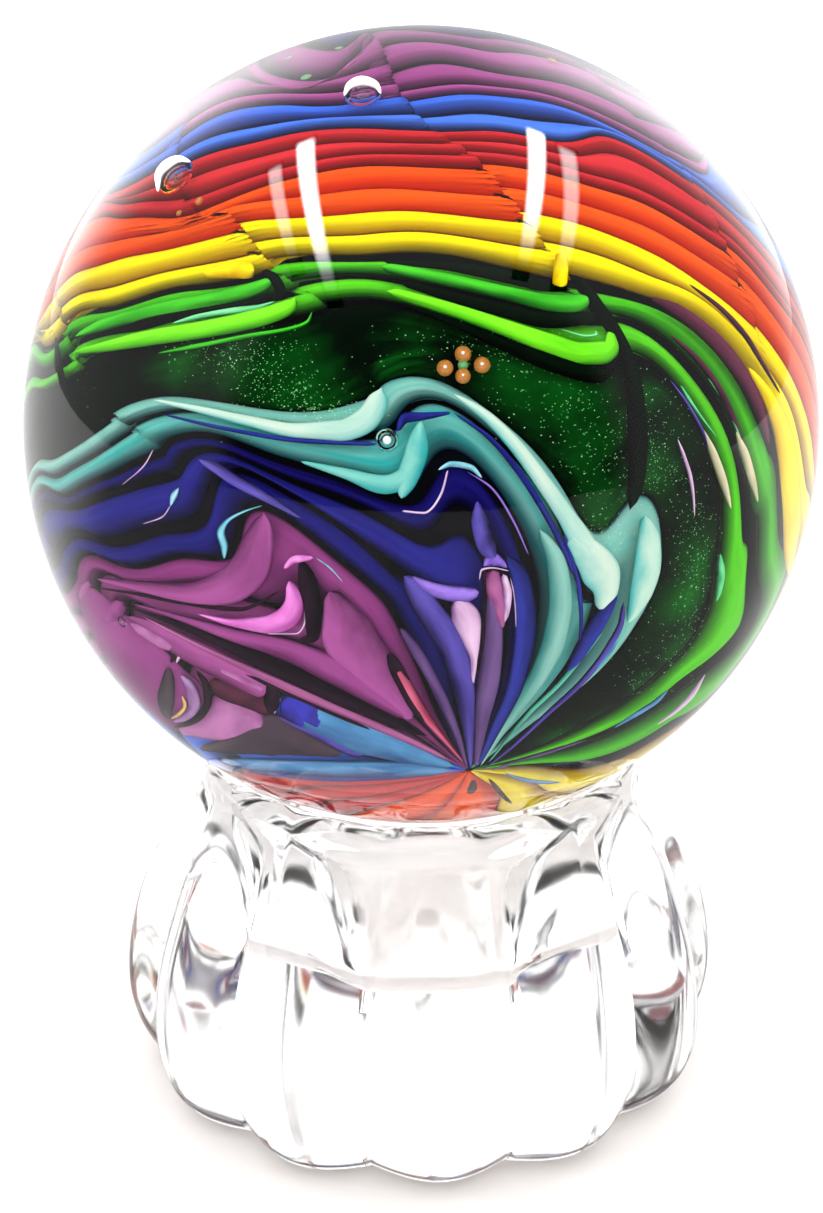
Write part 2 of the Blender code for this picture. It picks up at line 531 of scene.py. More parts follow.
def stand_profile():
    """Radius over the lobe tips, height and lobe depth, from underside to lip to the well's floor."""
    for step in range(FOOT_STEPS):
        angle = math.pi / 2 * step / FOOT_STEPS
        radius = FOOT_DIAMETER / 2 + (BODY_DIAMETER - FOOT_DIAMETER) / 2 * math.sin(angle)
        yield radius, BODY_WIDEST_HEIGHT * (1 - math.cos(angle)), LOBE_DEPTH
    for step in range(SHOULDER_STEPS + 1):
        up = step / SHOULDER_STEPS
        radius = BODY_DIAMETER / 2 - (BODY_DIAMETER / 2 - RIM_RADIUS) * up**2
        height = BODY_WIDEST_HEIGHT + (SHOULDER_HEIGHT - BODY_WIDEST_HEIGHT) * up
        yield radius, height, LOBE_DEPTH * math.sqrt(1 - up**2)
    for step in range(LIP_STEPS + 1):
        angle = math.pi * step / LIP_STEPS
        radius = LIP_CENTRE_RADIUS + LIP_RADIUS * math.cos(angle)
        yield radius, LIP_CENTRE_HEIGHT + LIP_RADIUS * math.sin(angle), 0.0
    floor_radius = WELL_FLOOR_DIAMETER / 2
    corner_top = WELL_FLOOR_HEIGHT + WELL_CORNER_RADIUS
    for step in range(1, WELL_WALL_STEPS + 1):
        down = step / WELL_WALL_STEPS
        radius = MOUTH_DIAMETER / 2 + (floor_radius - MOUTH_DIAMETER / 2) * down
        yield radius, LIP_CENTRE_HEIGHT + (corner_top - LIP_CENTRE_HEIGHT) * down, 0.0
    for step in range(1, WELL_CORNER_STEPS + 1):
        angle = math.pi / 2 * step / WELL_CORNER_STEPS
        radius = floor_radius - WELL_CORNER_RADIUS * (1 - math.cos(angle))
        yield radius, corner_top - WELL_CORNER_RADIUS * math.sin(angle), 0.0


def build_stand(material):
    vertices = []
    profile = list(stand_profile())
    for tip_radius, height, depth in profile:
        in_well = depth == 0 and tip_radius < MOUTH_DIAMETER / 2
        well_share = min(1.0, (MOUTH_DIAMETER / 2 - tip_radius) / WELL_FLUTE_ONSET) if in_well else 0.0
        for lobe in range(LOBE_COUNT):
            for step in range(STEPS_PER_LOBE):
                across = 2 * step / STEPS_PER_LOBE - 1
                angle = (lobe + across / 2) * 2 * math.pi / LOBE_COUNT + LOBE_TURN
                rounded = (1 - math.cos(math.pi * across)) / 2
                groove = GROOVE_SOFTNESS * rounded + (1 - GROOVE_SOFTNESS) * across**2
                flute = WELL_FLUTE_DEPTH * well_share * (1 - groove)
                ripple = RIPPLE_DEPTH * math.sin(5 * angle + 90 * height) * math.sin(7 * angle - 210 * height)
                radius = tip_radius - depth * groove + flute + ripple * (depth > 0)
                vertices.append((radius * math.sin(angle), -radius * math.cos(angle), STAND_LOW[2] + height))
    faces = ring_faces(len(profile), LOBE_COUNT * STEPS_PER_LOBE)
    stand = add_piece("clear_stand", vertices, faces, material)
    stand.data.set_sharp_from_angle(angle=math.radians(40))
    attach(stand, "root")
    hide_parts("glass_stand")


# Canes

# Share of each band's width that its canes take, with each cane's tone from dark to light
BAND_CANES = {
    "purple": ((0.0, 0.22, 0.35), (0.24, 0.48, 0.6), (0.5, 0.74, 0.45), (0.76, 0.98, 0.7)),
    "blue": ((0.0, 0.5, 0.5), (0.52, 0.98, 0.8)),
    "crimson": ((0.0, 0.39, 0.4), (0.38, 0.71, 0.65), (0.7, 1.0, 0.5)),
    "orange": ((0.0, 0.51, 0.45), (0.5, 1.0, 0.6)),
    "yellow": ((0.0, 0.53, 0.5), (0.54, 0.98, 0.7)),
    "green": ((0.15, 0.46, 0.45), (0.60, 0.90, 0.75)),
    "aventurine": ((0.0, 0.98, 0.5),),
    "turquoise": ((0.0, 0.42, 0.45), (0.50, 0.98, 0.2)),
    "indigo": ((0.08, 0.24, 0.2), (0.32, 0.62, 0.75), (0.72, 0.96, 0.5)),
}
BAND_COLOURS = {  # dark edge, where shade is painted; body; crown, the lighter colour its streaks wander to
    "purple": ((30, 6, 34), (126, 42, 110), (172, 82, 150)),
    "blue": ((4, 10, 50), (28, 70, 200), (76, 128, 240)),
    "crimson": ((96, 4, 16), (184, 22, 34), (214, 52, 58)),
    "orange": ((176, 26, 4), (240, 62, 10), (255, 104, 24)),
    "yellow": ((150, 100, 0), (255, 222, 0), (255, 240, 10)),
    "green": ((0, 40, 6), (42, 168, 26), (98, 216, 34)),
    "aventurine": ((0, 8, 2), (0, 34, 6), (4, 60, 12)),
    "turquoise": ((2, 40, 56), (44, 172, 168), (176, 216, 196)),
    "indigo": ((2, 0, 20), (14, 6, 86), (38, 38, 138)),
}
CANE_TOP_POINTS = 9
CANE_UNDER_POINTS = 3
CANE_RIDGE = 0.0011
MOST_RIDGE_SHARE = 0.42  # of a cane's width, where it is narrow
CANE_THICKNESS = 0.0009
MOST_THICKNESS_SHARE = 0.5
FOLD_RELIEF = 0.0007


def base_angles():
    """Angles from the pole along a cane, closer together where the twist is steep."""
    grid = np.linspace(0.6, 179.4, 4000)
    pace = np.hypot(1 / 0.6, np.gradient(twist_at(grid), grid) / 1.5)
    reach = np.concatenate([[0], np.cumsum((pace[1:] + pace[:-1]) / 2 * np.diff(grid))])
    return np.interp(np.linspace(0, reach[-1], int(reach[-1])), reach, grid)


BASE_ANGLES = base_angles()


def cane_mesh(first, last):
    """Vertices, faces, and each vertex's place across and along one cane between two band coordinates."""
    share = 0.5 - 0.5 * np.cos(np.linspace(0, math.pi, CANE_TOP_POINTS))
    under = np.linspace(0.9, 0.1, CANE_UNDER_POINTS)
    across = np.concatenate([share, under])
    band = first + (last - first) * across[None, :]
    base = BASE_ANGLES[:, None] + 0 * band
    angle, azimuth, fold = cane_place(band + 0 * base, base)
    units = towards(angle, azimuth)
    edge = CANE_TOP_POINTS - 1
    width = BALL_RADIUS * 0.9 * np.linalg.norm(units[:, edge] - units[:, 0], axis=1)[:, None]
    ridge = np.minimum(CANE_RIDGE, MOST_RIDGE_SHARE * width)
    thickness = np.minimum(CANE_THICKNESS, MOST_THICKNESS_SHARE * width)
    lift = np.concatenate([np.sin(math.pi * share) ** 0.8, np.full(CANE_UNDER_POINTS, 0.0)])[None, :]
    drop = np.concatenate([np.zeros(CANE_TOP_POINTS), np.full(CANE_UNDER_POINTS, 1.0)])[None, :]
    radius = CANE_BASE_RADIUS + ridge * lift - thickness * drop + FOLD_RELIEF * fold
    vertices = (BALL_CENTRE + units * radius[..., None]).reshape(-1, 3)
    along = np.linspace(0, 1, len(BASE_ANGLES))[:, None] + 0 * band
    return vertices, ring_faces(len(BASE_ANGLES), len(across)), (0 * base + across).ravel(), along.ravel()


# Painted shade and highlight across a cane (first) and across a fold (second): 1 keeps the glass's own
# colour, 0 gives the dark edge colour; lightest near one side as if lit from above, painted shade towards the
# other
CANE_SHADING = ((0.0, 0.0), (0.07, 0.85), (0.2, 1.0), (0.55, 0.9), (0.8, 0.35), (1.0, 0.0))
STROKE_SHADING = ((0.0, 0.4), (0.1, 0.92), (0.3, 1.0), (0.55, 0.75), (0.8, 0.35), (1.0, 0.02))
CANE_STREAKS = (3.0, 14.0, 31.0)
STROKE_STREAKS = (0.9, 1.5, 31.0)
STREAK_SCALE = 1.6
STREAK_DETAIL = 3.0
STREAK_CONTRAST = 0.9
CANE_ROUGHNESS = 0.35
PATCH_SCALE = 130.0
PATCH_DETAIL = 6.0
GRAIN_SCALE = 2000.0


def cane_material(name, edge, body, crown, shading=CANE_SHADING, streaks=CANE_STREAKS, painted_pooling=0.0):
    """Streaked glass, its colour set across each cane as painted shade; the last argument is how much that
    painted shade wanders in pools.
    """
    material, graph, shader = new_material(name, CANE_ROUGHNESS, specular=0.0)
    across, along, tone = [graph.attribute(label) for label in ("across", "along", "tone")]
    place = graph.nodes.new("ShaderNodeCombineXYZ")
    for socket, value in zip(place.inputs, (across, along, tone)):
        graph.links.new(value, socket)
    stretch = graph.nodes.new("ShaderNodeMapping")
    stretch.inputs["Scale"].default_value = streaks
    graph.links.new(place.outputs["Vector"], stretch.inputs["Vector"])
    streak = graph.noise(STREAK_SCALE, STREAK_DETAIL, stretch.outputs["Vector"])
    shade = graph.math("MULTIPLY_ADD", streak, STREAK_CONTRAST, tone)
    lightness = graph.math("SUBTRACT", shade, STREAK_CONTRAST / 2)
    glass = graph.blend_colours(lightness, linear(*body), linear(*crown))
    # Painted shade across the cane: the ramp takes it towards the dark edge colour
    profile = graph.ramp(across, [(position, (value, value, value)) for position, value in shading])
    # Painted pools of light and shade that wander along it
    pooled_shade = graph.product(graph.math("SUBTRACT", 0.5, streak), painted_pooling)
    colour = graph.blend_colours(graph.math("SUBTRACT", profile, pooled_shade), linear(*edge), glass)
    graph.links.new(colour, shader.inputs["Base Color"])
    return material


def aventurine_material():
    """Near-black green glass that glows in patches, with fine grains that sparkle in them."""
    material, graph, shader = new_material("aventurine_glass", SEALED_ROUGHNESS, specular=0.0)
    place = graph.nodes.new("ShaderNodeTexCoord").outputs["Object"]
    patch = graph.product(graph.noise(PATCH_SCALE, PATCH_DETAIL, place), graph.attribute("glow"))
    glow = graph.ramp(patch, ((0.24, linear(0, 10, 2)), (0.75, linear(6, 92, 20))))
    grains = graph.nodes.new("ShaderNodeTexVoronoi")
    grains.inputs["Scale"].default_value = GRAIN_SCALE
    graph.links.new(place, grains.inputs["Vector"])
    chance = graph.nodes.new("ShaderNodeSeparateColor")
    graph.links.new(grains.outputs["Color"], chance.inputs["Color"])
    grain = graph.product(graph.step(grains.outputs["Distance"], 0.34, 0.12),
                          graph.step(chance.outputs["Red"], 0.72, 0.95), graph.step(patch, 0.3, 0.6))
    graph.links.new(graph.blend_colours(grain, glow, linear(110, 200, 120)), shader.inputs["Base Color"])
    return material


# Where the dark green glows in the picture: x, y and reach in pixels
GLOWS = ((190, 350, 24), (230, 356, 30), (262, 372, 34), (288, 394, 34), (325, 412, 20), (388, 364, 10),
    (460, 330, 30), (520, 372, 36), (560, 400, 40), (590, 455, 36), (620, 500, 30), (595, 520, 34),
    (648, 400, 14), (652, 470, 20), (690, 600, 22), (700, 560, 20), (680, 650, 24), (650, 690, 24),
    (610, 725, 22), (560, 745, 20))
LEAST_GLOW = 0.42
MOST_GLOW = 1.1


def add_glow(piece):
    """How strongly each vertex of the dark green glass glows."""
    places = np.empty(len(piece.data.vertices) * 3)
    piece.data.vertices.foreach_get("co", places)
    units = places.reshape(-1, 3) - BALL_CENTRE
    units /= np.linalg.norm(units, axis=1, keepdims=True)
    glow = np.full(len(units), LEAST_GLOW)
    for x, y, reach in GLOWS:
        middle = seen_at(x, y, CANE_CROWN_RADIUS) / CANE_CROWN_RADIUS
        away = np.linalg.norm(units - middle, axis=1) * CANE_CROWN_RADIUS / PIXEL
        glow = np.maximum(glow, LEAST_GLOW + (MOST_GLOW - LEAST_GLOW) * bell(away, 0, reach))
    set_values(piece, {"glow": glow})


def build_canes():
    for number, name in enumerate(BAND_NAMES):
        parts = [(*cane_mesh(number + first, number + last), tone) for first, last, tone in BAND_CANES[name]]
        if name == "aventurine":
            material = aventurine_material()
        else:
            material = cane_material(f"{name}_cane_glass", *BAND_COLOURS[name])
        piece = joined_piece(f"{name}_canes", parts, material)
        if name == "aventurine":
            add_glow(piece)


# Glitter over the dark green: flat flakes, denser in patches; count, size and colours of each kind
FLAKE_KINDS = {"green_glitter": (2000, (0.00003, 0.00008), (20, 130, 40), (120, 215, 120)),
               "white_glitter": (500, (0.00003, 0.00007), (150, 220, 150), (240, 255, 235))}
FLAKE_DEPTH = (0.0002, 0.0010)
FLAKE_SEED = 11
FLAKE_SPECK_SCALE = 900.0
FLAKE_CORNERS = 6
FLAKES_SPREAD = 0.3  # share of them that lie all along the band
FLAKES_ALONG, FLAKES_ACROSS = (25, 150), (0.06, 0.92)  # angles from the pole and shares of the band's width
FLAKE_TILT = 0.5
FLAKE_WIDTH = 0.7  # of its length
# Where they gather: x, y, width and height in pixels
FLAKE_CLUSTERS = ((272, 378, 56, 44), (290, 396, 50, 34), (245, 358, 60, 22), (560, 400, 70, 50),
    (610, 460, 50, 50), (480, 345, 80, 24), (690, 560, 26, 90), (652, 450, 36, 60), (335, 412, 40, 8),
    (600, 540, 40, 30), (670, 660, 40, 60))


def flake_places(chance, count):
    """Unit vectors of the flakes: part spread along the band, part gathered where the picture shows them."""
    spots = []
    band = BAND_NAMES.index("aventurine")
    while len(spots) < count * FLAKES_SPREAD:
        base = chance.uniform(*FLAKES_ALONG)
        # Two waves along the band make the flakes thicker in some stretches
        if math.sin(base * 0.31) + math.sin(base * 0.13 + 1) > chance.uniform(-1.2, 1.6):
            place = band + chance.uniform(*FLAKES_ACROSS)
            angle, azimuth, _ = cane_place(np.array([place]), np.array([base]))
            spots.append(towards(angle, azimuth)[0])
    while len(spots) < count:
        x, y, wide, high = chance.choice(FLAKE_CLUSTERS)
        spot = (chance.gauss(x, wide / 2), chance.gauss(y, high / 2))
        spots.append(seen_at(*spot, CANE_CROWN_RADIUS) / CANE_CROWN_RADIUS)
    return spots


def build_glitter():
    chance = random.Random(FLAKE_SEED)
    for name, (count, sizes, dark, light) in FLAKE_KINDS.items():
        vertices, faces = [], []
        for unit in flake_places(chance, count):
            size = chance.uniform(*sizes)
            radius = CANE_BASE_RADIUS + CANE_RIDGE + chance.uniform(*FLAKE_DEPTH)
            tilt = Vector(unit) + Vector([chance.uniform(-FLAKE_TILT, FLAKE_TILT) for _ in range(3)])
            turn = tilt.to_track_quat("Z", "Y").to_matrix()
            first = len(vertices)
            for corner in range(FLAKE_CORNERS):
                angle = corner * 2 * math.pi / FLAKE_CORNERS
                spot = turn @ Vector((size * math.cos(angle), size * math.sin(angle) * FLAKE_WIDTH, 0.0))
                vertices.append(BALL_CENTRE + unit * radius + np.array(spot))
            faces.append(tuple(range(first, first + FLAKE_CORNERS)))
        material = speckled_material(f"{name}_flakes", dark, light, FLAKE_SPECK_SCALE)
        sealed(add_piece(name, vertices, faces, material, smooth=False))


# Air bubbles and beads between the canes and the ball's surface: place in pixels, half width, place from the
# ball's centre in radii and how flat it lies
AIR_BUBBLES = ((363, 94, 17, 0.945, 0.75), (176, 177, 19, 0.945, 0.75), (387, 440, 10, 0.945, 1.0),
    (122, 622, 6, 0.95, 1.0))
WHITE_BEADS = ((387, 440, 5.5, 0.945, 1.0), (463, 353, 2, 0.935, 1.0), (445, 367, 2, 0.935, 1.0),
    (482, 364, 2, 0.935, 1.0), (463, 375, 1.5, 0.935, 1.0))
AMBER_BEADS = ((463, 354, 7, 0.925, 0.8), (445, 368, 7, 0.925, 0.8), (482, 365, 7, 0.925, 0.8),
    (463, 376, 6.5, 0.925, 0.8), (552, 60, 4.5, 0.92, 0.8), (199, 201, 4, 0.92, 0.8),
    (179, 213, 3, 0.92, 0.8))
GREEN_BEADS = ((463, 365, 4.5, 0.925, 0.8), (288, 58, 4, 0.92, 0.5), (306, 77, 5, 0.92, 0.5),
    (339, 48, 4, 0.92, 0.5))
BEAD_KINDS = {  # beads, dark, light and how fine their specks are
    "white": (WHITE_BEADS, (235, 235, 235), (255, 255, 255), 400.0),
    "amber": (AMBER_BEADS, (120, 60, 10), (225, 150, 60), 700.0),
    "green": (GREEN_BEADS, (10, 90, 30), (120, 190, 120), 600.0),
}
BEAD_ROWS = 12


def bead_mesh(beads, inward):
    """Flattened balls, one for each place; an air bubble's surface faces inward, as it bounds the glass."""
    bm = bmesh.new()
    for x, y, half, reach, flatness in beads:
        centre = seen_at(x, y, reach * BALL_RADIUS)
        turn = Vector(centre).to_track_quat("Z", "Y").to_matrix().to_4x4()
        place = Matrix.Translation(Vector(BALL_CENTRE + centre)) @ turn @ Matrix.Diagonal((1, 1, flatness, 1))
        bmesh.ops.create_uvsphere(bm, u_segments=BEAD_ROWS * 2, v_segments=BEAD_ROWS, radius=half * PIXEL,
                                  matrix=place)
    if inward:
        bmesh.ops.reverse_faces(bm, faces=bm.faces)
    return bm


def build_beads(name, beads, material, inward=False):
    sealed(piece_from(bead_mesh(beads, inward), name, material))


def build_inclusions():
    build_beads("air_bubbles", AIR_BUBBLES, glass_material("bubble_glass", (1.0, 1.0, 1.0), 0.0), inward=True)
    for name, (beads, dark, light, scale) in BEAD_KINDS.items():
        build_beads(f"{name}_beads", beads, speckled_material(f"{name}_bead_glass", dark, light, scale))


# Folds of glass that lie over the canes, drawn along their middles as seen, each over those before it
STROKE_COLOURS = {  # dark edge, where shade is painted; body; crown, the lighter colour its streaks wander to
    "soft_magenta": ((116, 44, 104), (136, 54, 122), (176, 92, 158)),
    "magenta": ((58, 12, 50), (136, 54, 122), (178, 92, 158)),
    "bright_pink": ((150, 30, 130), (222, 76, 208), (255, 176, 236)),
    # pale pink: facets, and painted glints where it is drawn thin
    "pale_pink": ((110, 60, 130), (214, 164, 208), (250, 226, 246)),
    "rose": ((90, 20, 70), (152, 72, 134), (200, 124, 170)),
    "glow_rose": ((110, 10, 50), (190, 50, 90), (240, 140, 170)),
    "violet": ((8, 4, 44), (66, 52, 142), (110, 98, 194)),
    "bright_violet": ((30, 10, 110), (110, 66, 196), (176, 140, 240)),
    "plum": ((26, 8, 44), (84, 54, 112), (124, 94, 148)),
    # lilac: a painted highlight on the small drawn-out bubble
    "lilac": ((70, 40, 90), (146, 100, 160), (206, 160, 210)),
    "lilac_lobe": ((104, 40, 92), (160, 90, 146), (206, 136, 192)),
    "royal": ((16, 10, 60), (56, 50, 128), (60, 60, 196)),
    "night": ((2, 0, 6), (20, 6, 20), (44, 18, 40)),
    "dusk": ((30, 22, 34), (64, 52, 62), (84, 66, 80)),
    "sky": ((16, 26, 90), (62, 122, 180), (104, 170, 212)),
    # cyan: mostly painted glints
    "cyan": ((0, 60, 90), (60, 190, 215), (200, 240, 250)),
    "navy": ((2, 0, 20), (18, 20, 106), (52, 62, 162)),
    "green": ((0, 70, 8), (40, 180, 30), (90, 215, 50)),
    "lime": ((10, 110, 8), (98, 226, 30), (136, 250, 40)),
    "mint": ((10, 90, 50), (60, 200, 110), (150, 240, 180)),
    "teal": ((0, 50, 45), (24, 140, 110), (110, 210, 180)),
    "black_glass": ((0, 0, 0), (0, 8, 2), (2, 20, 6)),
    "yellow": ((190, 140, 0), (255, 220, 0), (255, 240, 30)),
    "maroon": ((20, 4, 12), (62, 24, 44), (110, 50, 76)),
    "pale_aqua": ((70, 180, 176), (170, 218, 200), (214, 228, 212)),
    "light_aqua": ((40, 160, 158), (96, 194, 184), (160, 214, 200)),
    "sage": ((40, 120, 116), (112, 178, 166), (158, 204, 190)),
    "cream": ((120, 130, 80), (190, 190, 150), (230, 214, 190)),
    # amber: a painted highlight on the small drawn-out bubble
    "amber": ((140, 80, 20), (220, 160, 70), (250, 220, 150)),
    # white: painted highlights over the two great bubbles
    "white": ((200, 200, 205), (250, 250, 250), (255, 255, 255)),
}
# Left, top and enlargement of the views in which the folds are drawn
WHOLE = (0, 0, 1.0)
UPPER_LEFT = (20, 260, 3.92)
LOWER_LEFT = (20, 540, 3.92)
UPPER_RIGHT = (400, 260, 3.733)
LOWER_RIGHT = (400, 540, 3.733)
